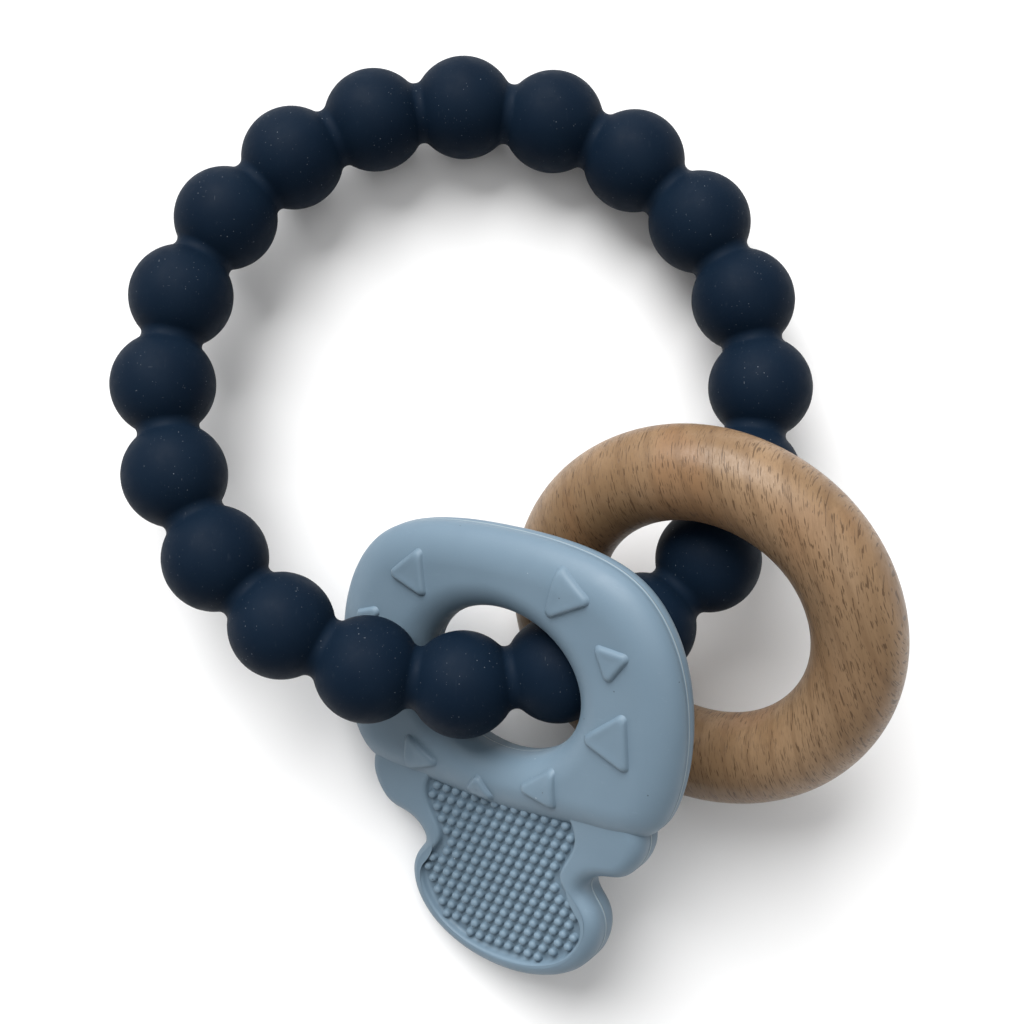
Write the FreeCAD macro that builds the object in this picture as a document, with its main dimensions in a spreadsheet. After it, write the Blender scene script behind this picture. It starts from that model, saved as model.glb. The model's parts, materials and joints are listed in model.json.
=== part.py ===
import FreeCAD, Part
import Sketcher
import math
import os

# Teething ring: a one-piece moulded silicone bead loop that carries a beech ring and a
# mushroom-shaped silicone teether.  Units are millimetres, +Z up, and the object lies on
# the plane Z = 0 as it comes to rest: its far beads, the ring and the teether's foot touch it.

App = FreeCAD
V = App.Vector
doc = App.newDocument("TeethingRing")

# ---------------------------------------------------------------- driving dimensions
SIZES = [
    # bead loop
    ("bead_diameter", 15.0), ("bead_count", 20), ("loop_radius", 42.8),
    ("neck_diameter", 8.8), ("first_bead_angle", 90.2),
    # beech ring
    ("ring_radius", 22.35), ("ring_tube_radius", 6.6),
    # mushroom teether: cap
    ("cap_half_width", 28.7), ("cap_top", 21.9), ("cap_base", 19.4),
    ("cap_thickness", 8.6), ("cap_rounding", 3.7),
    ("hole_half_width", 12.9), ("hole_half_height", 10.7),
    # mushroom teether: skirt under the cap, and the foot
    ("skirt_half_width", 23.3), ("foot_half_width", 16.3), ("foot_end", 45.1),
    ("plate_thickness", 6.6), ("plate_rounding", 2.2),
    ("field_half_width", 13.8), ("field_end", 42.5), ("field_depth", 1.2),
    ("triangle_height", 0.6),
    # how the loop lies on the table: turns about X and then Y
    ("loop_pitch", -10.58), ("loop_roll", 1.07),
    # where the beech ring sits on the loop: station, distance out of the bead circle, height
    ("ring_station", -44.6), ("ring_outset", 4.84), ("ring_rise", -0.64),
    ("ring_yaw", -17.94), ("ring_tilt", -21.16), ("ring_lean", 41.89),
    # where the teether sits on the loop
    ("teether_station", -81.0), ("teether_outset", -0.57), ("teether_rise", -0.8),
    ("teether_yaw", -18.88), ("teether_tilt", -32.01), ("teether_lean", 34.95),
]
sheet = doc.addObject("Spreadsheet::Sheet", "Sizes")
for row, (alias, value) in enumerate(SIZES, start=1):
    sheet.set(f"A{row}", alias)
    sheet.set(f"B{row}", str(value))
    sheet.setAlias(f"B{row}", alias)
doc.recompute()


def size(alias):
    return float(getattr(sheet, alias))


def bind(obj, **cells):
    """Drive properties of obj from cells of the sheet."""
    for name, formula in cells.items():
        obj.setExpression(name, formula)


def origin_plane(body, role):
    return next(f for f in body.Origin.OriginFeatures if f.Role == role)


def polar(radius, angle, height=0.0):
    turn = math.radians(angle)
    return V(radius * math.cos(turn), radius * math.sin(turn), height)


# ---------------------------------------------------------------- bead loop
def bead_loop():
    """A soft core ring with a bead at every station, all one moulding."""
    body = doc.addObject("PartDesign::Body", "BeadLoop")
    body.Label = "bead_loop"
    core = body.newObject("PartDesign::AdditiveTorus", "Core")
    bind(core, Radius1="Sizes.loop_radius", Radius2="Sizes.neck_diameter / 2")
    bead = body.newObject("PartDesign::AdditiveSphere", "Bead")
    bind(bead, Radius="Sizes.bead_diameter / 2")
    bead.AttachmentOffset = App.Placement(
        polar(size("loop_radius"), size("first_bead_angle")),
        App.Rotation(V(0, 0, 1), size("first_bead_angle")),
    )
    bead.AttachmentSupport = (origin_plane(body, "XY_Plane"), "")
    bead.MapMode = "FlatFace"
    doc.recompute()
    beads = body.newObject("PartDesign::PolarPattern", "Beads")
    beads.Originals = [bead]
    beads.Axis = (origin_plane(body, "Z_Axis"), [""])
    beads.Angle = 360
    bind(beads, Occurrences="Sizes.bead_count")
    body.Tip = beads
    doc.recompute()
    return body


# ---------------------------------------------------------------- beech ring
def beech_ring():
    """A turned ring of round section."""
    body = doc.addObject("PartDesign::Body", "BeechRing")
    body.Label = "beech_ring"
    profile = body.newObject("Sketcher::SketchObject", "RingSection")
    profile.AttachmentSupport = (origin_plane(body, "XZ_Plane"), "")
    profile.MapMode = "FlatFace"
    middle = V(size("ring_radius"), 0, 0)
    circle = profile.addGeometry(Part.Circle(middle, V(0, 0, 1), size("ring_tube_radius")), False)
    profile.addConstraint(Sketcher.Constraint("PointOnObject", circle, 3, -1))
    across = profile.addConstraint(
        Sketcher.Constraint("DistanceX", -1, 1, circle, 3, size("ring_radius")))
    tube = profile.addConstraint(
        Sketcher.Constraint("Radius", circle, size("ring_tube_radius")))
    profile.setExpression(f"Constraints[{across}]", "Sizes.ring_radius")
    profile.setExpression(f"Constraints[{tube}]", "Sizes.ring_tube_radius")
    turned = body.newObject("PartDesign::Revolution", "Turned")
    turned.Profile = profile
    turned.ReferenceAxis = (profile, ["V_Axis"])
    turned.Angle = 360
    doc.recompute()
    return body


# ---------------------------------------------------------------- mushroom teether
def smooth_outline(right_side, name):
    """A sketch of one smooth closed curve, mirrored about Y from its right side, top to bottom."""
    left_side = [(-x, y) for x, y in reversed(right_side) if x > 0]
    curve = Part.BSplineCurve()
    curve.interpolate(Points=[V(x, y, 0) for x, y in right_side + left_side], PeriodicFlag=True)
    sketch = doc.addObject("Sketcher::SketchObject", name)
    sketch.addGeometry(curve, False)
    return sketch


def plate(sketch, name, thickness, start=None):
    """The sketch made solid, centred on its plane unless a start height is given."""
    solid = doc.addObject("Part::Extrusion", name)
    solid.Base = sketch
    solid.DirMode = "Custom"
    solid.Dir = V(0, 0, 1)
    solid.Solid = True
    solid.Symmetric = start is None
    bind(solid, LengthFwd=thickness)
    if start is not None:
        sketch.Placement = App.Placement(V(0, 0, start), App.Rotation())
    doc.recompute()
    return solid


def rounded(solid, name, radius):
    """Both rims of a plate rounded over, with a narrow flat left at the parting line."""
    fillet = doc.addObject("Part::Fillet", name)
    fillet.Base = solid
    fillet.Edges = [
        (index, radius, radius)
        for index, edge in enumerate(solid.Shape.Edges, start=1)
        if abs(edge.BoundBox.ZLength) < 1e-6
    ]
    doc.recompute()
    return fillet


def triangles():
    """Raised three-cornered pips spaced round the cap's front, each given by its corners."""
    pips = [
        [(-17.7, 13.2), (-11.7, 18.4), (-10.9, 10.6)], [(10.8, 20.0), (8.6, 11.7), (16.4, 15.6)],
        [(16.4, 10.2), (22.5, 9.6), (18.7, 4.6)], [(14.4, -3.9), (21.7, 1.8), (22.2, -7.3)],
        [(4.0, -14.0), (10.3, -9.1), (10.6, -15.9)], [(-5.4, -17.3), (-2.5, -13.5), (0.5, -17.8)],
        [(-15.2, -10.4), (-15.8, -17.0), (-8.9, -14.1)], [(-24.0, 6.3), (-18.6, 8.2), (-21.6, 3.0)],
    ]
    sketch = doc.addObject("Sketcher::SketchObject", "PipOutlines")
    for corners in pips:
        for k in range(3):
            sketch.addGeometry(Part.LineSegment(V(*corners[k]), V(*corners[(k + 1) % 3])), False)
    face = size("cap_thickness") / 2
    sunk = 1.0
    sketch.Placement = App.Placement(V(0, 0, face - sunk), App.Rotation())
    solid = doc.addObject("Part::Extrusion", "Pips")
    solid.Base = sketch
    solid.DirMode = "Custom"
    solid.Dir = V(0, 0, 1)
    solid.Solid = True
    bind(solid, LengthFwd=f"Sizes.triangle_height + {sunk}")
    doc.recompute()
    return solid


def mushroom_teether():
    """A mushroom cut-out: a thick rounded cap with an oval hole, on a thinner skirt and foot."""
    wide, top, base = size("cap_half_width"), size("cap_top"), size("cap_base")
    cap_line = smooth_outline([
        (0, top), (0.42 * wide, 0.96 * top), (0.74 * wide, 0.80 * top), (0.93 * wide, 0.46 * top),
        (wide, 0), (0.97 * wide, -0.48 * base), (0.84 * wide, -0.86 * base),
        (0.5 * wide, -0.955 * base), (0, -base),
    ], "CapOutline")
    cap_block = plate(cap_line, "CapBlock", "Sizes.cap_thickness")
    hole_line = doc.addObject("Part::Ellipse", "HoleOutline")
    bind(hole_line, MajorRadius="Sizes.hole_half_width", MinorRadius="Sizes.hole_half_height")
    hole_block = plate(hole_line, "HoleBlock", "Sizes.cap_thickness + 2")
    cap_ring = doc.addObject("Part::Cut", "CapRing")
    cap_ring.Base, cap_ring.Tool = cap_block, hole_block
    doc.recompute()
    cap = rounded(cap_ring, "Cap", size("cap_rounding"))

    skirt = size("skirt_half_width")
    foot, end = size("foot_half_width"), size("foot_end")
    lower_line = smooth_outline([
        (0, -11.5), (0.60 * skirt, -11.8), (0.90 * skirt, -13.6), (skirt, -17.8),
        (0.96 * skirt, -21.6), (0.85 * skirt, -24.2), (0.68 * skirt, -25.4),
        (0.85 * foot, -27.9), (0.95 * foot, -30.8), (foot, -34.0),
        (0.86 * foot, -39.6), (0.50 * foot, -43.6), (0, -end),
    ], "SkirtAndFootOutline")
    lower = rounded(plate(lower_line, "SkirtAndFootBlock", "Sizes.plate_thickness"),
                    "SkirtAndFoot", size("plate_rounding"))

    field, low = size("field_half_width"), size("field_end")
    field_line = smooth_outline([
        (0, -16.5), (0.85 * field, -16.8), (0.93 * field, -20.5), (0.76 * field, -26.8),
        (field, -31.5), (0.96 * field, -36.2), (0.60 * field, -41.0), (0, -low),
    ], "FieldOutline")
    floor = size("plate_thickness") / 2 - size("field_depth")
    field_block = plate(field_line, "FieldBlock", "Sizes.plate_thickness", start=floor)

    recessed = doc.addObject("Part::Cut", "RecessedFoot")
    recessed.Base, recessed.Tool = lower, field_block
    whole = doc.addObject("Part::MultiFuse", "MushroomTeether")
    whole.Shapes = [cap, recessed, triangles()]
    whole.Label = "mushroom_teether"
    doc.recompute()
    return whole


# ---------------------------------------------------------------- assembly
def station(prefix):
    """Place of a ring on the loop, in the loop's own frame."""
    where = polar(size("loop_radius") + size(prefix + "_outset"), size(prefix + "_station"),
                  size(prefix + "_rise"))
    turn = App.Rotation(size(prefix + "_yaw"), size(prefix + "_tilt"), size(prefix + "_lean"))
    return App.Placement(where, turn)


loop = bead_loop()
ring = beech_ring()
teether = mushroom_teether()

lie = App.Placement(V(0, 0, 0), App.Rotation(0, size("loop_roll"), size("loop_pitch")))
places = {loop: lie, ring: lie * station("ring"), teether: lie * station("teether")}
for piece, place in places.items():
    piece.Placement = place
doc.recompute()
box = Part.makeCompound([p.Shape for p in places]).optimalBoundingBox(False)
to_rest = App.Placement(
    V(-(box.XMin + box.XMax) / 2, -(box.YMin + box.YMax) / 2, -box.ZMin), App.Rotation())
for piece, place in places.items():
    piece.Placement = to_rest * place
doc.recompute()

for obj in doc.Objects:
    if "Invalid" in obj.State or "Error" in obj.State:
        raise RuntimeError(f"{obj.Name} did not compute: {obj.State}")
for piece in places:
    if piece.Shape.isNull() or not piece.Shape.isValid() or len(piece.Shape.Solids) != 1:
        raise RuntimeError(f"{piece.Label} is not one valid solid")

os.makedirs("parts", exist_ok=True)
for piece in places:
    piece.Shape.exportStep(f"parts/{piece.Label}.step")
    print(piece.Label, "volume", round(piece.Shape.Volume), "mm3",
          piece.Shape.optimalBoundingBox(False))

centre = to_rest.multVec(V(0, 0, 0))
axis = lie.Rotation.multVec(V(0, 0, 1))
print("loop centre", centre, "loop axis", axis)
print("ring centre", places[ring].Base + to_rest.Base)
print("ring normal", places[ring].Rotation.multVec(V(0, 0, 1)))
print("teether centre", places[teether].Base + to_rest.Base)
print("teether normal", places[teether].Rotation.multVec(V(0, 0, 1)))
print("box", box)
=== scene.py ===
"""Looks of the teething ring: a loop of soft navy beads, a turned beech ring and a mushroom teether."""

import json
import math

import bpy
import numpy as np
from mathutils import Euler, Matrix, Vector
from mathutils.geometry import tessellate_polygon

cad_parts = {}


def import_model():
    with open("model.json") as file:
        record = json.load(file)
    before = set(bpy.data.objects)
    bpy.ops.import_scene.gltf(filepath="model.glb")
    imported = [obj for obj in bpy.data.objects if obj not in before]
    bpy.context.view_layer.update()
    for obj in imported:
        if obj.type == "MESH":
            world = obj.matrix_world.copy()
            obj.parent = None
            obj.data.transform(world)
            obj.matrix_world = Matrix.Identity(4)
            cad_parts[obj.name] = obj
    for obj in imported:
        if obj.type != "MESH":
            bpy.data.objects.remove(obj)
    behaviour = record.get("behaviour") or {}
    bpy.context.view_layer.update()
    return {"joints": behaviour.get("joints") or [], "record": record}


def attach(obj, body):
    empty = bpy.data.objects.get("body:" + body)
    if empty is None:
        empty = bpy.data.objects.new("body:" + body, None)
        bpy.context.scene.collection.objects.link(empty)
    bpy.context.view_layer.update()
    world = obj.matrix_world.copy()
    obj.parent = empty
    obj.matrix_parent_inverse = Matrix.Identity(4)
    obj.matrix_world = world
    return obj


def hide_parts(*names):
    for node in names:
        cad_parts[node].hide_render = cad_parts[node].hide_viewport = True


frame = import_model()
joints = {j["name"]: j for j in frame["joints"]}
mounts = {m["name"]: m for m in frame["record"]["mounts"]}

MM = 0.001

# ------------------------------------------------------------------ design values, in mm and degrees
# bead loop: beads on a circle, joined by necks with a fillet on each side; the first bead's angle comes last
BEAD_COUNT = 20
BEAD_RADIUS = 7.5
LOOP_RADIUS = 42.8
NECK_RADIUS = 4.4
NECK_FILLET = 1.2
FIRST_BEAD = 90.2

# beech ring: the circle of its section's centre, and the section's radius
RING_RADIUS = 22.35
RING_TUBE = 6.6

# teether, in its own plane with the cap's middle as origin: half-widths, and how far each outline reaches
CAP_WIDE = 28.7
CAP_TOP = 21.9
CAP_BASE = 19.4
HOLE_WIDE = 12.9
HOLE_HIGH = 10.7
SKIRT_WIDE = 23.3
FOOT_WIDE = 16.3
FOOT_END = 45.1
FIELD_WIDE = 13.8
FIELD_END = 42.5

# teether, through its thickness: half-thickness and round-over of cap and plate, and the sunk field's depth
CAP_HALF = 4.3
CAP_ROUND = 3.7
PLATE_HALF = 3.3
PLATE_ROUND = 2.2
FIELD_DEPTH = 1.2

# how the loop lies on the table, and how the teether is turned against the loop: yaw, tilt, lean
LOOP_TURN = (0.0, 1.07, -10.58)
TEETHER_TURN = (-18.88, -32.01, 34.95)

# nubs on the teether's field: pitch within and between rows, each row's step sideways, where the first row
# is, a nub's height, how near to the field's wall its middle may be, and how far under the cap's edge
NUB_PITCH = 1.71
NUB_STEP = -0.89
NUB_FIRST_ROW = -16.9
NUB_TOP = 0.95
NUB_WALL_GAP = 0.70
NUB_UNDER_CAP = 1.2

# radius of a pip's corners, before its sides are rolled
PIP_CORNER = 0.75

# camera: where it is, what it looks at, its roll and its lens
EYE = (-0.98, -5.18, 263.54)
AIM = (1.93, -0.48, 15.0)
ROLL = 0.33
FOCAL_LENGTH = 60.93
SENSOR_WIDTH = 36.0


def turned(yaw, tilt, lean):
    """Rotation by lean about X, then tilt about Y, then yaw about Z."""
    return Euler((math.radians(lean), math.radians(tilt), math.radians(yaw)), "XYZ").to_matrix()


def placed(origin, rotation):
    """The matrix that turns by rotation and then moves to origin."""
    return Matrix.Translation(Vector(origin)) @ rotation.to_4x4()


# ------------------------------------------------------------------ mesh helpers
def mesh_object(name, points, faces, matrix, material, smooth=True):
    """A mesh from points in mm in its own frame, moved by matrix into the row frame.
    Each point keeps its own-frame place, in mm, as the attribute that the materials read."""
    own = np.array([tuple(p) for p in points], float)
    turn, shift = np.array(matrix.to_3x3()), np.array(matrix.translation)
    mesh = bpy.data.meshes.new(name)
    mesh.from_pydata((own * MM @ turn.T + shift).tolist(), [], faces)
    mesh.attributes.new("own", "FLOAT_VECTOR", "POINT").data.foreach_set("vector", own.ravel())
    mesh.update()
    mesh.polygons.foreach_set("use_smooth", [smooth] * len(mesh.polygons))
    mesh.materials.append(material)
    obj = bpy.data.objects.new(name, mesh)
    bpy.context.scene.collection.objects.link(obj)
    return obj


def ring_faces(rows, cols, closed_rows=False, start=0, flip=False):
    """Quads joining rows of a grid whose columns close on themselves."""
    faces = []
    for r in range(rows if closed_rows else rows - 1):
        nxt = (r + 1) % rows
        for c in range(cols):
            d = (c + 1) % cols
            here, there = start + r * cols, start + nxt * cols
            quad = (here + c, here + d, there + d, there + c)
            faces.append(quad[::-1] if flip else quad)
    return faces


def mirrored(right_side):
    """A closed symmetric outline from its right side, given top to bottom."""
    return right_side + [(-x, y) for x, y in reversed(right_side) if x > 0]


def smooth_closed(points, count):
    """A closed cubic spline through the points, cut into equal steps."""
    p = np.array(points, float)
    n = len(p)
    h = np.linalg.norm(np.roll(p, -1, 0) - p, axis=1)
    # the second derivatives at the points make slope and curvature run on from span to span
    a = np.zeros((n, n))
    b = np.zeros((n, 2))
    for i in range(n):
        before, after = h[i - 1], h[i]
        a[i, i - 1] += before
        a[i, i] += 2 * (before + after)
        a[i, (i + 1) % n] += after
        b[i] = 6 * ((p[(i + 1) % n] - p[i]) / after - (p[i] - p[i - 1]) / before)
    m = np.linalg.solve(a, b)
    dense = []
    for i in range(n):
        j = (i + 1) % n
        for s in np.linspace(0, 1, 60, endpoint=False):
            u = s * h[i]
            v = h[i] - u
            dense.append(m[i] * v**3 / (6 * h[i]) + m[j] * u**3 / (6 * h[i])
                         + (p[i] / h[i] - m[i] * h[i] / 6) * v + (p[j] / h[i] - m[j] * h[i] / 6) * u)
    dense = np.array(dense)
    step = np.linalg.norm(np.roll(dense, -1, 0) - dense, axis=1)
    run = np.concatenate([[0], np.cumsum(step)])
    wrap = np.vstack([dense, dense[:1]])
    at = np.linspace(0, run[-1], count, endpoint=False)
    return np.column_stack([np.interp(at, run, wrap[:, 0]), np.interp(at, run, wrap[:, 1])])


def clockwise(loop):
    """Whether a closed loop runs clockwise."""
    after = np.roll(loop, -1, 0)
    return np.sum(loop[:, 0] * after[:, 1] - after[:, 0] * loop[:, 1]) < 0


def inward(loop):
    """Unit normals pointing into a closed loop."""
    tangent = np.roll(loop, -1, 0) - np.roll(loop, 1, 0)
    tangent /= np.linalg.norm(tangent, axis=1)[:, None]
    normal = np.column_stack([-tangent[:, 1], tangent[:, 0]])
    return -normal if clockwise(loop) else normal


def nearest(points, loop):
    """Distance from each point to a closed loop, taken to its sides and not only its corners."""
    a, b = loop, np.roll(loop, -1, 0)
    side = b - a
    length = np.sum(side * side, axis=1)
    out = np.empty(len(points))
    # in batches, to keep the table of every point against every side small
    for k in range(0, len(points), 400):
        away = points[k:k + 400, None, :] - a[None]
        t = np.clip(np.sum(away * side[None], axis=2) / length[None], 0, 1)
        gap = away - t[..., None] * side[None]
        out[k:k + 400] = np.sqrt(np.min(np.sum(gap**2, axis=2), axis=1))
    return out


def inside(points, loop):
    """Which points lie inside a closed loop."""
    a, b = loop, np.roll(loop, -1, 0)
    x, y = points[:, 0:1], points[:, 1:2]
    crosses = (a[None, :, 1] > y) != (b[None, :, 1] > y)
    with np.errstate(divide="ignore", invalid="ignore"):
        at = a[None, :, 0] + (y - a[None, :, 1]) * (b - a)[None, :, 0] / (b - a)[None, :, 1]
    return np.sum(crosses & (x < at), axis=1) % 2 == 1


# ------------------------------------------------------------------ materials
def material(name):
    """A new material with its node tree and its shader."""
    mat = bpy.data.materials.new(name)
    mat.use_nodes = True
    return mat, mat.node_tree, mat.node_tree.nodes["Principled BSDF"]


def node(tree, kind, **values):
    """A node with its properties and its inputs set by name."""
    made = tree.nodes.new(kind)
    for key, value in values.items():
        if hasattr(made, key):
            setattr(made, key, value)
        else:
            made.inputs[key.replace("_", " ")].default_value = value
    return made


def place(tree, scale=(1, 1, 1), turn=(0, 0, 0), shift=(0, 0, 0)):
    """The piece's own coordinates, in mm where scale is 1."""
    coords = node(tree, "ShaderNodeAttribute", attribute_name="own")
    mapping = tree.nodes.new("ShaderNodeMapping")
    mapping.inputs["Scale"].default_value = scale
    mapping.inputs["Rotation"].default_value = turn
    mapping.inputs["Location"].default_value = shift
    tree.links.new(coords.outputs["Vector"], mapping.inputs["Vector"])
    return mapping.outputs["Vector"]


def noise(tree, vector, scale, detail=2.0, rough=0.5, distortion=0.0):
    """Smooth noise between 0 and 1."""
    made = node(tree, "ShaderNodeTexNoise", Scale=scale, Detail=detail, Roughness=rough,
                Distortion=distortion)
    tree.links.new(vector, made.inputs["Vector"])
    return made.outputs["Fac"]


def span(tree, value, low, high, to_low=0.0, to_high=1.0, smooth=True):
    """Value from low to high turned into to_low to to_high."""
    made = tree.nodes.new("ShaderNodeMapRange")
    made.interpolation_type = "SMOOTHSTEP" if smooth else "LINEAR"
    for key, number in (("From Min", low), ("From Max", high), ("To Min", to_low), ("To Max", to_high)):
        made.inputs[key].default_value = number
    tree.links.new(value, made.inputs["Value"])
    return made.outputs["Result"]


def times(tree, a, b, operation="MULTIPLY"):
    """Two values, each a number or a socket, multiplied or put together by another operation."""
    made = tree.nodes.new("ShaderNodeMath")
    made.operation = operation
    for k, value in enumerate((a, b)):
        if isinstance(value, (int, float)):
            made.inputs[k].default_value = value
        else:
            tree.links.new(value, made.inputs[k])
    return made.outputs[0]


def tint(tree, factor, a, b):
    """Colour a turning into colour b by factor."""
    made = tree.nodes.new("ShaderNodeMix")
    made.data_type = "RGBA"
    tree.links.new(factor, made.inputs[0])
    for key, value in ((6, a), (7, b)):
        if isinstance(value, tuple):
            made.inputs[key].default_value = (*value, 1)
        else:
            tree.links.new(value, made.inputs[key])
    return made.outputs[2]


def bump(tree, shader, height, distance, strength=1.0):
    """Fine relief of the surface, with its depth in mm."""
    made = tree.nodes.new("ShaderNodeBump")
    made.inputs["Distance"].default_value = distance * MM
    made.inputs["Strength"].default_value = strength
    tree.links.new(height, made.inputs["Height"])
    tree.links.new(made.outputs["Normal"], shader.inputs["Normal"])


def specks(tree, vector, cell, reach, share, seed):
    """Round specks, one in some of the cells of a scattered pattern."""
    made = tree.nodes.new("ShaderNodeTexVoronoi")
    made.inputs["Scale"].default_value = 1.0 / cell
    shifted = tree.nodes.new("ShaderNodeVectorMath")
    shifted.operation = "ADD"
    shifted.inputs[1].default_value = (seed * 3.7, seed * 1.9, seed * 5.3)
    tree.links.new(vector, shifted.inputs[0])
    tree.links.new(shifted.outputs[0], made.inputs["Vector"])
    near = span(tree, made.outputs["Distance"], reach * 0.5, reach, 1.0, 0.0)
    parts = tree.nodes.new("ShaderNodeSeparateColor")
    tree.links.new(made.outputs["Color"], parts.inputs["Color"])
    chosen = span(tree, parts.outputs[0], 1 - share, 1 - share + 0.02, 0.0, 1.0)
    return times(tree, near, chosen)


def navy_silicone():
    """Matt navy silicone with faint clouds and scuffs, and the dust and lint that such silicone picks up."""
    mat, tree, shader = material("navy_silicone")
    here = place(tree)
    cloud = noise(tree, here, 0.12, 3, 0.55)
    colour = tint(tree, cloud, (0.0026, 0.0076, 0.0172), (0.0056, 0.0134, 0.0264))
    scuff = span(tree, noise(tree, place(tree, (1.0, 0.22, 0.6), (0.3, 0.2, 0.7)), 1.6, 4, 0.7), 0.60, 0.80)
    colour = tint(tree, times(tree, scuff, 0.35), colour, (0.022, 0.032, 0.046))
    dust = times(tree, specks(tree, here, 0.85, 0.11, 0.28, 1), 0.42)
    fine = times(tree, specks(tree, here, 0.45, 0.16, 0.20, 2), 0.25)
    # lint and hairs are specks drawn out along one direction
    drawn = place(tree, (1.0, 0.10, 1.0), (0.4, 0.9, 0.6))
    lint = times(tree, specks(tree, drawn, 0.75, 0.065, 0.45, 5), 0.30)
    drawn = place(tree, (0.09, 1.0, 1.0), (0.8, 0.2, -0.5))
    hairs = times(tree, specks(tree, drawn, 0.80, 0.060, 0.45, 6), 0.30)
    patch = span(tree, noise(tree, here, 0.16, 2), 0.42, 0.62, 0.15, 1.0)
    grains = times(tree, dust, fine, "MAXIMUM")
    threads = times(tree, lint, hairs, "MAXIMUM")
    dusty = times(tree, times(tree, grains, threads, "MAXIMUM"), patch)
    colour = tint(tree, dusty, colour, (0.30, 0.34, 0.38))
    tree.links.new(colour, shader.inputs["Base Color"])
    rough = span(tree, noise(tree, here, 0.5, 4, 0.6), 0.3, 0.7, 0.50, 0.62)
    tree.links.new(rough, shader.inputs["Roughness"])
    shader.inputs["Specular IOR Level"].default_value = 0.045
    bump(tree, shader, noise(tree, here, 5.5, 3, 0.6), 0.012)
    return mat


def blue_silicone():
    """Light blue silicone with pale rubbed streaks, and a few dark and light specks."""
    mat, tree, shader = material("blue_silicone")
    here = place(tree)
    colour = tint(tree, noise(tree, here, 0.09, 3, 0.5), (0.118, 0.174, 0.226), (0.150, 0.215, 0.272))
    pale = span(tree, noise(tree, place(tree, (0.25, 1.0, 1.0), (0, 0, 0.5)), 0.9, 5, 0.7), 0.62, 0.82)
    colour = tint(tree, times(tree, pale, 0.30), colour, (0.24, 0.32, 0.39))
    dark = times(tree, specks(tree, here, 2.6, 0.055, 0.35, 3), 0.75)
    colour = tint(tree, dark, colour, (0.030, 0.035, 0.045))
    light = times(tree, specks(tree, here, 2.1, 0.060, 0.25, 4), 0.45)
    colour = tint(tree, light, colour, (0.60, 0.66, 0.70))
    # rubbed flash where the two halves of the mould met, at mid thickness
    parts = tree.nodes.new("ShaderNodeSeparateXYZ")
    tree.links.new(here, parts.inputs["Vector"])
    flash = span(tree, times(tree, parts.outputs["Z"], 0, "ABSOLUTE"), 0.06, 0.17, 0.55, 0.0)
    colour = tint(tree, flash, colour, (0.36, 0.41, 0.43))
    tree.links.new(colour, shader.inputs["Base Color"])
    rough = span(tree, noise(tree, here, 0.4, 4, 0.6), 0.3, 0.7, 0.42, 0.54)
    tree.links.new(rough, shader.inputs["Roughness"])
    shader.inputs["Specular IOR Level"].default_value = 0.28
    bump(tree, shader, noise(tree, here, 4.0, 3, 0.6), 0.010)
    return mat


def beech():
    """Beech cut with its grain along the piece's own Y, showing short dark ray flecks."""
    mat, tree, shader = material("beech")
    here = place(tree)
    broad = noise(tree, place(tree, (1.0, 0.16, 1.0)), 0.10, 3, 0.5, 0.4)
    colour = tint(tree, span(tree, broad, 0.3, 0.7), (0.178, 0.108, 0.055), (0.262, 0.170, 0.097))
    patches = noise(tree, place(tree, (1.0, 0.30, 1.0), (0, 0, 0), (40, 3, 8)), 0.075, 2)
    ruddy = span(tree, patches, 0.52, 0.68, 0.0, 0.55)
    colour = tint(tree, ruddy, colour, (0.225, 0.120, 0.058))
    fibre = noise(tree, place(tree, (1.0, 0.045, 0.30)), 5.5, 3, 0.6)
    colour = tint(tree, span(tree, fibre, 0.35, 0.75, 0.0, 0.38), colour, (0.138, 0.080, 0.040))
    arcs = node(tree, "ShaderNodeTexWave", wave_type="RINGS", rings_direction="Z", Scale=0.085,
                Distortion=2.2, Detail=2.0, Detail_Scale=0.6)
    tree.links.new(place(tree, (1.0, 0.35, 1.0), (0, 0, 0), (31, 12, 0)), arcs.inputs["Vector"])
    colour = tint(tree, span(tree, arcs.outputs["Fac"], 0.80, 1.0, 0.0, 0.32), colour, (0.128, 0.072, 0.036))
    # the rays are thin plates, long along the grain and upright, and a fleck is where one meets the surface
    plates = noise(tree, place(tree, (1.0, 0.085, 0.06)), 6.3, 0, 0.5)
    first = span(tree, plates, 0.700, 0.740)
    plates = noise(tree, place(tree, (1.0, 0.10, 0.07), (0, 0, 0.04), (17, 5, 9)), 7.2, 0, 0.5)
    second = span(tree, plates, 0.705, 0.745)
    plates = noise(tree, place(tree, (1.0, 0.10, 0.07), (0, 0, -0.03), (7, 25, 3)), 5.4, 0, 0.5)
    third = span(tree, plates, 0.735, 0.775)
    fleck = times(tree, times(tree, first, second, "MAXIMUM"), third, "MAXIMUM")
    colour = tint(tree, times(tree, fleck, 0.66), colour, (0.050, 0.025, 0.011))
    tree.links.new(colour, shader.inputs["Base Color"])
    tree.links.new(span(tree, fibre, 0.3, 0.7, 0.30, 0.48), shader.inputs["Roughness"])
    shader.inputs["Specular IOR Level"].default_value = 0.30
    height = times(tree, times(tree, fibre, 0.35), fleck, "SUBTRACT")
    bump(tree, shader, height, 0.03, 0.6)
    return mat


NAVY, BLUE, BEECH = navy_silicone(), blue_silicone(), beech()


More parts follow.
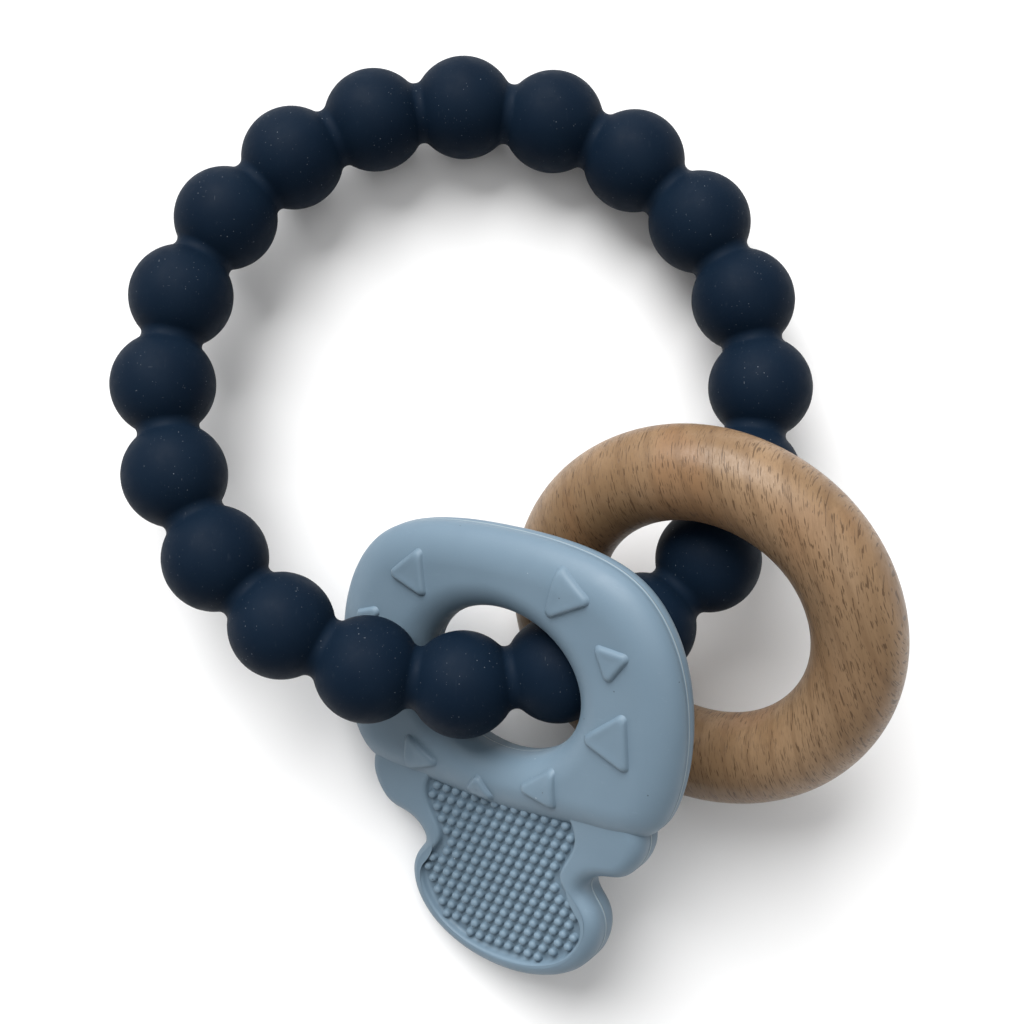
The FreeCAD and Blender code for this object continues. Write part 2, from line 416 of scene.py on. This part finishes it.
# ------------------------------------------------------------------ bead loop
def bead_sections():
    """Each section across one bead and its two half necks: its angle from the bead's middle, its radius, and
    how far its centre is from the loop's middle."""
    half_pitch = math.pi / BEAD_COUNT
    # a fillet touches bead and neck: its centre is reach from the bead's, high off the strand's line
    reach = BEAD_RADIUS + NECK_FILLET
    high = NECK_RADIUS + NECK_FILLET
    along = math.sqrt(reach**2 - high**2)
    lean = math.asin(along / reach)
    bead_steps, fillet_steps = 12, 7
    side = []
    for k in range(bead_steps + 1):
        a = lean * k / bead_steps
        side.append((math.asin(BEAD_RADIUS * math.sin(a) / LOOP_RADIUS), BEAD_RADIUS * math.cos(a)))
    meet = side[-1][0]
    for k in range(1, fillet_steps + 1):
        a = lean * (1 - k / fillet_steps)
        turn = math.asin((along - NECK_FILLET * math.sin(a)) / LOOP_RADIUS)
        side.append((turn, high - NECK_FILLET * math.cos(a)))
    sections = []
    for turn, radius in side + [(half_pitch, NECK_RADIUS)]:
        centre = LOOP_RADIUS * math.cos(min(turn, meet))
        if turn > meet:
            t = (turn - meet) / (half_pitch - meet)
            centre -= LOOP_RADIUS * math.sin(meet) * (turn - meet) * (1 - t / 2)
        sections.append((turn, radius, centre))
    return [(-t, r, c) for t, r, c in reversed(sections[1:-1])] + sections


def bead_loop():
    """The one moulding of beads and necks."""
    around = 64
    sections = bead_sections()
    points = []
    for bead in range(BEAD_COUNT):
        middle = math.radians(FIRST_BEAD) + 2 * math.pi * bead / BEAD_COUNT
        for turn, radius, centre in sections:
            c, s = math.cos(middle + turn), math.sin(middle + turn)
            for k in range(around):
                a = 2 * math.pi * k / around
                out = centre + radius * math.cos(a)
                points.append((out * c, out * s, radius * math.sin(a)))
    faces = ring_faces(BEAD_COUNT * len(sections), around, closed_rows=True, flip=True)
    # the beech ring travels about the loop's own middle
    hub = joints["beech_ring_travel"]["pos_m"]
    obj = mesh_object("bead_loop_moulding", points, faces, placed(hub, turned(*LOOP_TURN)), NAVY)
    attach(obj, "bead_loop")
    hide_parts("bead_loop")
    return obj


# ------------------------------------------------------------------ beech ring
def beech_ring():
    """The turned ring, standing so that its own Y runs along the grain."""
    rows, around = 220, 72
    spot = mounts["ring_opening_grip"]
    centre = Vector(spot["pos_m"])
    axis = Vector(spot["axis"]).normalized()
    grain = Vector((-0.14, 1.0, 0.0))
    grain = (grain - axis * grain.dot(axis)).normalized()
    across = grain.cross(axis)
    turn = Matrix((across, grain, axis)).transposed()
    points = []
    for r in range(rows):
        w = 2 * math.pi * r / rows
        for k in range(around):
            a = 2 * math.pi * k / around
            # sanding leaves the section up to 0.07 mm under size, unevenly
            broad = 0.02 * (1 + math.sin(3 * w + 1.0) * math.cos(2 * a))
            tube = RING_TUBE - broad - 0.015 * (1 + math.sin(7 * w + 2.0 + a))
            out = RING_RADIUS + tube * math.cos(a)
            points.append((out * math.cos(w), out * math.sin(w), tube * math.sin(a)))
    faces = ring_faces(rows, around, closed_rows=True, flip=True)
    obj = mesh_object("beech_ring_turned", points, faces, placed(centre, turn), BEECH)
    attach(obj, "beech_ring")
    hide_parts("beech_ring")
    return obj


# ------------------------------------------------------------------ mushroom teether
# the teether swings about the middle of its hole, which is its own origin
TEETHER = placed(joints["teether_swing"]["pos_m"], turned(*LOOP_TURN) @ turned(*TEETHER_TURN))

CAP_LINE = smooth_closed(mirrored([
    (0, CAP_TOP), (0.42 * CAP_WIDE, 0.96 * CAP_TOP), (0.74 * CAP_WIDE, 0.80 * CAP_TOP),
    (0.93 * CAP_WIDE, 0.46 * CAP_TOP), (CAP_WIDE, 0), (0.97 * CAP_WIDE, -0.48 * CAP_BASE),
    (0.84 * CAP_WIDE, -0.86 * CAP_BASE), (0.5 * CAP_WIDE, -0.955 * CAP_BASE), (0, -CAP_BASE),
]), 264)
HOLE_LINE = np.array([(HOLE_WIDE * math.cos(a), HOLE_HIGH * math.sin(a))
                      for a in np.linspace(0, 2 * math.pi, 360, endpoint=False)])
LOWER_LINE = smooth_closed(mirrored([
    (0, -11.5), (0.60 * SKIRT_WIDE, -11.8), (0.90 * SKIRT_WIDE, -13.6), (SKIRT_WIDE, -17.8),
    (0.96 * SKIRT_WIDE, -21.6), (0.85 * SKIRT_WIDE, -24.2), (0.68 * SKIRT_WIDE, -25.4),
    (0.85 * FOOT_WIDE, -27.9), (0.95 * FOOT_WIDE, -30.8), (FOOT_WIDE, -34.0),
    (0.86 * FOOT_WIDE, -39.6), (0.50 * FOOT_WIDE, -43.6), (0, -FOOT_END),
]), 300)
FIELD_LINE = smooth_closed(mirrored([
    (0, -16.5), (0.85 * FIELD_WIDE, -16.8), (0.93 * FIELD_WIDE, -20.5), (0.76 * FIELD_WIDE, -26.8),
    (FIELD_WIDE, -31.5), (0.96 * FIELD_WIDE, -36.2), (0.60 * FIELD_WIDE, -41.0), (0, -FIELD_END),
]), 200)
# the round-over of the cap runs further in than it drops, at its rim and at its hole
RIM_RUN = 5.4
HOLE_RUN = 4.4
# the mould's two halves meet in a fine line round the rim, left standing in a shallow hollow: inset, height
SEAM = [(0.07, 0.34), (0.10, 0.16), (0.0, 0.09), (0.0, -0.09), (0.10, -0.16), (0.07, -0.34)]


def cap_face(points):
    """Height of the cap's front over points of its plane."""
    points = np.asarray(points, float)
    height = np.full(len(points), CAP_HALF)
    for loop, run in ((CAP_LINE, RIM_RUN), (HOLE_LINE, HOLE_RUN)):
        t = np.clip(1 - nearest(points, loop) / run, 0, 1)
        height -= CAP_ROUND * (1 - np.sqrt(1 - t * t))
    return height


def teether_cap():
    """The thick rounded cap with its oval hole, made of closed loops from the rim in to the hole and back."""
    steps = 40
    n = len(CAP_LINE)
    angle = np.arctan2(CAP_LINE[:, 1] / HOLE_HIGH, CAP_LINE[:, 0] / HOLE_WIDE)
    hole = np.column_stack([HOLE_WIDE * np.cos(angle), HOLE_HIGH * np.sin(angle)])
    share = 0.5 - 0.5 * np.cos(math.pi * np.arange(steps + 1) / steps)
    flat = CAP_LINE[None] + (hole - CAP_LINE)[None] * share[:, None, None]
    height = cap_face(flat.reshape(-1, 2)).reshape(steps + 1, n)
    height[0] = height[-1] = CAP_HALF - CAP_ROUND
    rows = [np.column_stack([flat[k], height[k]]) for k in range(steps + 1)]
    into = inward(CAP_LINE)

    def wall(loop, normal, levels):
        return [np.column_stack([loop + normal * d, np.full(n, z)]) for d, z in levels]

    # in the hole the seam shows the other way round, and fainter
    bore = -inward(HOLE_LINE)
    bore_at = np.array([bore[int(round(math.degrees(a))) % len(HOLE_LINE)] for a in angle])
    back = [row * (1, 1, -1) for row in rows]
    hole_wall = wall(hole, bore_at, [(-d * 0.6, z) for d, z in SEAM])
    rim_wall = wall(CAP_LINE, into, [(d, -z) for d, z in SEAM])
    loops = rows + hole_wall + back[::-1] + rim_wall
    points = np.vstack(loops)
    faces = ring_faces(len(loops), n, closed_rows=True)
    return mesh_object("teether_cap", points, faces, TEETHER, BLUE)


def teether_foot():
    """The skirt and foot in one plate, with a rounded rim and a sunk field on its front."""
    points, faces = [], []
    n, m = len(LOWER_LINE), len(FIELD_LINE)
    into = inward(LOWER_LINE)

    def add(loop, height):
        """Adds a loop of points and gives the number of its first."""
        points.extend((x, y, height) for x, y in loop)
        return len(points) - len(loop)

    def lid(loops, starts, up):
        """Closes a flat area, with later loops as its holes."""
        tris = tessellate_polygon([[Vector((x, y, 0)) for x, y in loop] for loop in loops])
        index = [s + k for loop, s in zip(loops, starts) for k in range(len(loop))]
        flat = [p for loop in loops for p in loop]
        for tri in tris:
            a, b, c = (flat[k] for k in tri)
            turn = (b[0] - a[0]) * (c[1] - a[1]) - (b[1] - a[1]) * (c[0] - a[0])
            tri = tri if (turn > 0) == up else tri[::-1]
            faces.append(tuple(index[k] for k in tri))

    over = [(PLATE_ROUND * (1 - math.sin(a)), PLATE_HALF - PLATE_ROUND * (1 - math.cos(a)))
            for a in np.linspace(0, math.pi / 2, 9)]
    profile = over + SEAM + [(d, -z) for d, z in reversed(over)]
    loops = [LOWER_LINE + into * d for d, _ in profile]
    starts = [add(loop, z) for loop, (_, z) in zip(loops, profile)]
    faces.extend(ring_faces(len(loops), n, start=starts[0], flip=not clockwise(LOWER_LINE)))
    lid([loops[-1]], [starts[-1]], up=False)
    # the field: rounded lip, sloping wall, soft corner, floor
    f_in = inward(FIELD_LINE)
    lip = [(-0.55, 0.0), (-0.35, -0.04), (-0.18, -0.14), (-0.05, -0.32), (0.02, -0.60),
           (0.08, -0.88), (0.20, -1.08), (0.38, -1.18), (0.60, -FIELD_DEPTH)]
    f_loops = [FIELD_LINE + f_in * d for d, _ in lip]
    f_starts = [add(loop, PLATE_HALF + z) for loop, (_, z) in zip(f_loops, lip)]
    faces.extend(ring_faces(len(f_loops), m, start=f_starts[0], flip=clockwise(FIELD_LINE)))
    lid([loops[0], f_loops[0]], [starts[0], f_starts[0]], up=True)
    lid([f_loops[-1]], [f_starts[-1]], up=True)
    return mesh_object("teether_skirt_and_foot", points, faces, TEETHER, BLUE)


def add_mound(points, faces, loops, top):
    """Adds a small closed body: loops of points from its base upwards, and one point at its top."""
    start = len(points)
    count = len(loops[0])
    last = start + count * (len(loops) - 1)
    for loop in loops:
        points.extend(loop)
    faces.extend(ring_faces(len(loops), count, start=start))
    points.append(top)
    faces.extend((last + k, last + (k + 1) % count, len(points) - 1) for k in range(count))
    faces.append(tuple(start + k for k in reversed(range(count))))


def teether_nubs():
    """Rows of soft round nubs on the field's floor, each row stepped half a place from the last."""
    floor = PLATE_HALF - FIELD_DEPTH
    # radius and height of each ring of a nub, from just under the floor to its rounded top
    profile = [(0.78, -0.10), (0.74, 0.02), (0.68, 0.12), (0.65, 0.32), (0.62, 0.50),
               (0.54, 0.69), (0.39, 0.84), (0.20, 0.92)]
    sides = 14
    # more rows and columns than the field holds: those off its floor, or hidden under the cap, are dropped
    grid = [(NUB_PITCH * col + NUB_STEP * row, NUB_FIRST_ROW - NUB_PITCH * row)
            for row in range(16) for col in range(-14, 30)]
    centres = np.array(grid)
    keep = inside(centres, FIELD_LINE) & (nearest(centres, FIELD_LINE) > NUB_WALL_GAP)
    under_cap = inside(centres, CAP_LINE) & (nearest(centres, CAP_LINE) > NUB_UNDER_CAP)
    circle = [(math.cos(a), math.sin(a)) for a in (2 * math.pi * k / sides for k in range(sides))]
    points, faces = [], []
    for x, y in centres[keep & ~under_cap]:
        rings = [[(x + radius * c, y + radius * s, floor + height) for c, s in circle]
                 for radius, height in profile]
        add_mound(points, faces, rings, (x, y, floor + NUB_TOP))
    return mesh_object("teether_nubs", points, faces, TEETHER, BLUE)


def rounded_triangle(corners, radius, share):
    """A triangle's outline with its corners rounded, then drawn in by a share of the way to its middle."""
    corners = [Vector(c) for c in corners]
    middle = sum(corners, Vector((0, 0))) / 3
    if (corners[1] - corners[0]).cross(corners[2] - corners[0]) < 0:
        corners.reverse()
    arcs = []
    for k in range(3):
        before = (corners[k] - corners[k - 1]).normalized()
        after = (corners[(k + 1) % 3] - corners[k]).normalized()
        normal_in, normal_out = Vector((-before.y, before.x)), Vector((-after.y, after.x))
        half = (normal_in + normal_out).normalized()
        centre = corners[k] + half * (radius / half.dot(normal_in))
        start = math.atan2(-normal_in.y, -normal_in.x)
        sweep = (math.atan2(-normal_out.y, -normal_out.x) - start) % (2 * math.pi)
        angles = [start + sweep * step / 8 for step in range(9)]
        arcs.append([centre + Vector((math.cos(a), math.sin(a))) * radius for a in angles])
    outline = []
    for arc, following in zip(arcs, arcs[1:] + arcs[:1]):
        outline += arc
        outline += [arc[-1].lerp(following[0], step / 8) for step in range(1, 8)]
    return [p + (middle - p) * share for p in outline]


# the corners of the eight pips, before rounding
TRIANGLES = [
    ((-17.7, 13.2), (-11.7, 18.4), (-10.9, 10.6)), ((10.8, 20.0), (8.6, 11.7), (16.4, 15.6)),
    ((16.4, 10.2), (22.5, 9.6), (18.7, 4.6)), ((14.4, -3.9), (21.7, 1.8), (22.2, -7.3)),
    ((4.0, -14.0), (10.3, -9.1), (10.6, -15.9)), ((-5.4, -17.3), (-2.5, -13.5), (0.5, -17.8)),
    ((-15.2, -10.4), (-15.8, -17.0), (-8.9, -14.1)), ((-24.0, 6.3), (-18.6, 8.2), (-21.6, 3.0)),
]


def teether_triangles():
    """Low three-cornered pips with rolled edges, following the cap's rounded face."""
    # how far each outline is drawn in and how far it stands above the cap, from foot to top
    rolled = [(-0.20, -0.30), (-0.06, 0.0), (0.0, 0.10), (0.10, 0.34), (0.24, 0.52), (0.44, 0.62),
              (0.72, 0.64), (1.1, 0.60), (1.6, 0.58)]
    points, faces = [], []
    for corners in TRIANGLES:
        middle = sum((Vector(c) for c in corners), Vector((0, 0))) / 3
        reach = sum((Vector(c) - middle).length for c in corners) / 3
        loops = []
        for inset, rise in rolled:
            # a side is about half as far from the middle as a corner is
            outline = rounded_triangle(corners, PIP_CORNER, inset / (reach / 2))
            flat = np.array([tuple(p) for p in outline])
            loops.append([(x, y, z + rise) for (x, y), z in zip(flat, cap_face(flat))])
        add_mound(points, faces, loops, tuple(np.mean(loops[-1], axis=0)))
    return mesh_object("teether_triangles", points, faces, TEETHER, BLUE)


def teether():
    """The teether's four meshes, which ride together on its body."""
    cap = teether_cap()
    for obj in (cap, teether_foot(), teether_nubs(), teether_triangles()):
        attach(obj, "mushroom_teether")
    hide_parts("mushroom_teether")


bead_loop()
beech_ring()
teether()


# ------------------------------------------------------------------ floor, light and camera
def floor():
    """A pale floor, a hair under the object so that the two surfaces don't coincide."""
    mat, tree, shader = material("pale_floor")
    here = place(tree)
    colour = tint(tree, noise(tree, here, 0.02, 2), (0.86, 0.86, 0.86), (0.88, 0.88, 0.88))
    tree.links.new(colour, shader.inputs["Base Color"])
    shader.inputs["Roughness"].default_value = 0.85
    shader.inputs["Specular IOR Level"].default_value = 0.1
    edge = 2500
    corners = [(-edge, -edge, 0), (edge, -edge, 0), (edge, edge, 0), (-edge, edge, 0)]
    under = Matrix.Translation((0, 0, -0.3 * MM))
    obj = mesh_object("floor", corners, [(0, 1, 2, 3)], under, mat, smooth=False)


def soft_light(name, towards, strength, spread):
    """A broad far light, alike over the whole floor; spread is its width across the sky, in degrees."""
    light = bpy.data.lights.new(name, "SUN")
    light.energy = strength
    light.angle = math.radians(spread)
    obj = bpy.data.objects.new(name, light)
    bpy.context.scene.collection.objects.link(obj)
    obj.rotation_euler = (-Vector(towards)).to_track_quat("-Z", "Y").to_euler()


def camera():
    """Nearly straight above the object, as close as a phone is held."""
    eye, aim = Vector(EYE) * MM, Vector(AIM) * MM
    view = (aim - eye).normalized()
    right = view.cross(Vector((0, 1, 0))).normalized()
    level = Matrix((right, right.cross(view), -view)).transposed()
    turn = level @ Matrix.Rotation(math.radians(ROLL), 3, "Z")
    data = bpy.data.cameras.new("camera")
    data.lens = FOCAL_LENGTH
    data.sensor_width = SENSOR_WIDTH
    data.clip_start = 0.01
    obj = bpy.data.objects.new("camera", data)
    bpy.context.scene.collection.objects.link(obj)
    obj.matrix_world = placed(eye, turn)
    bpy.context.scene.camera = obj


def world():
    """Even light from all round, seen directly as a white studio wall."""
    sky = bpy.data.worlds.new("studio")
    sky.use_nodes = True
    tree = sky.node_tree
    lit = tree.nodes["Background"]
    lit.inputs["Color"].default_value = (1.0, 1.0, 1.0, 1)
    lit.inputs["Strength"].default_value = 0.28
    wall = node(tree, "ShaderNodeBackground", Color=(1.0, 1.0, 1.0, 1), Strength=1.0)
    either = tree.nodes.new("ShaderNodeMixShader")
    path = tree.nodes.new("ShaderNodeLightPath")
    tree.links.new(path.outputs["Is Camera Ray"], either.inputs[0])
    tree.links.new(lit.outputs[0], either.inputs[1])
    tree.links.new(wall.outputs[0], either.inputs[2])
    tree.links.new(either.outputs[0], tree.nodes["World Output"].inputs["Surface"])
    bpy.context.scene.world = sky


floor()
world()
soft_light("key", (-0.20, 0.50, 0.50), 5.0, 50)
soft_light("fill", (0.10, 0.05, 0.75), 0.7, 60)
camera()
bpy.context.scene.view_settings.view_transform = "Standard"
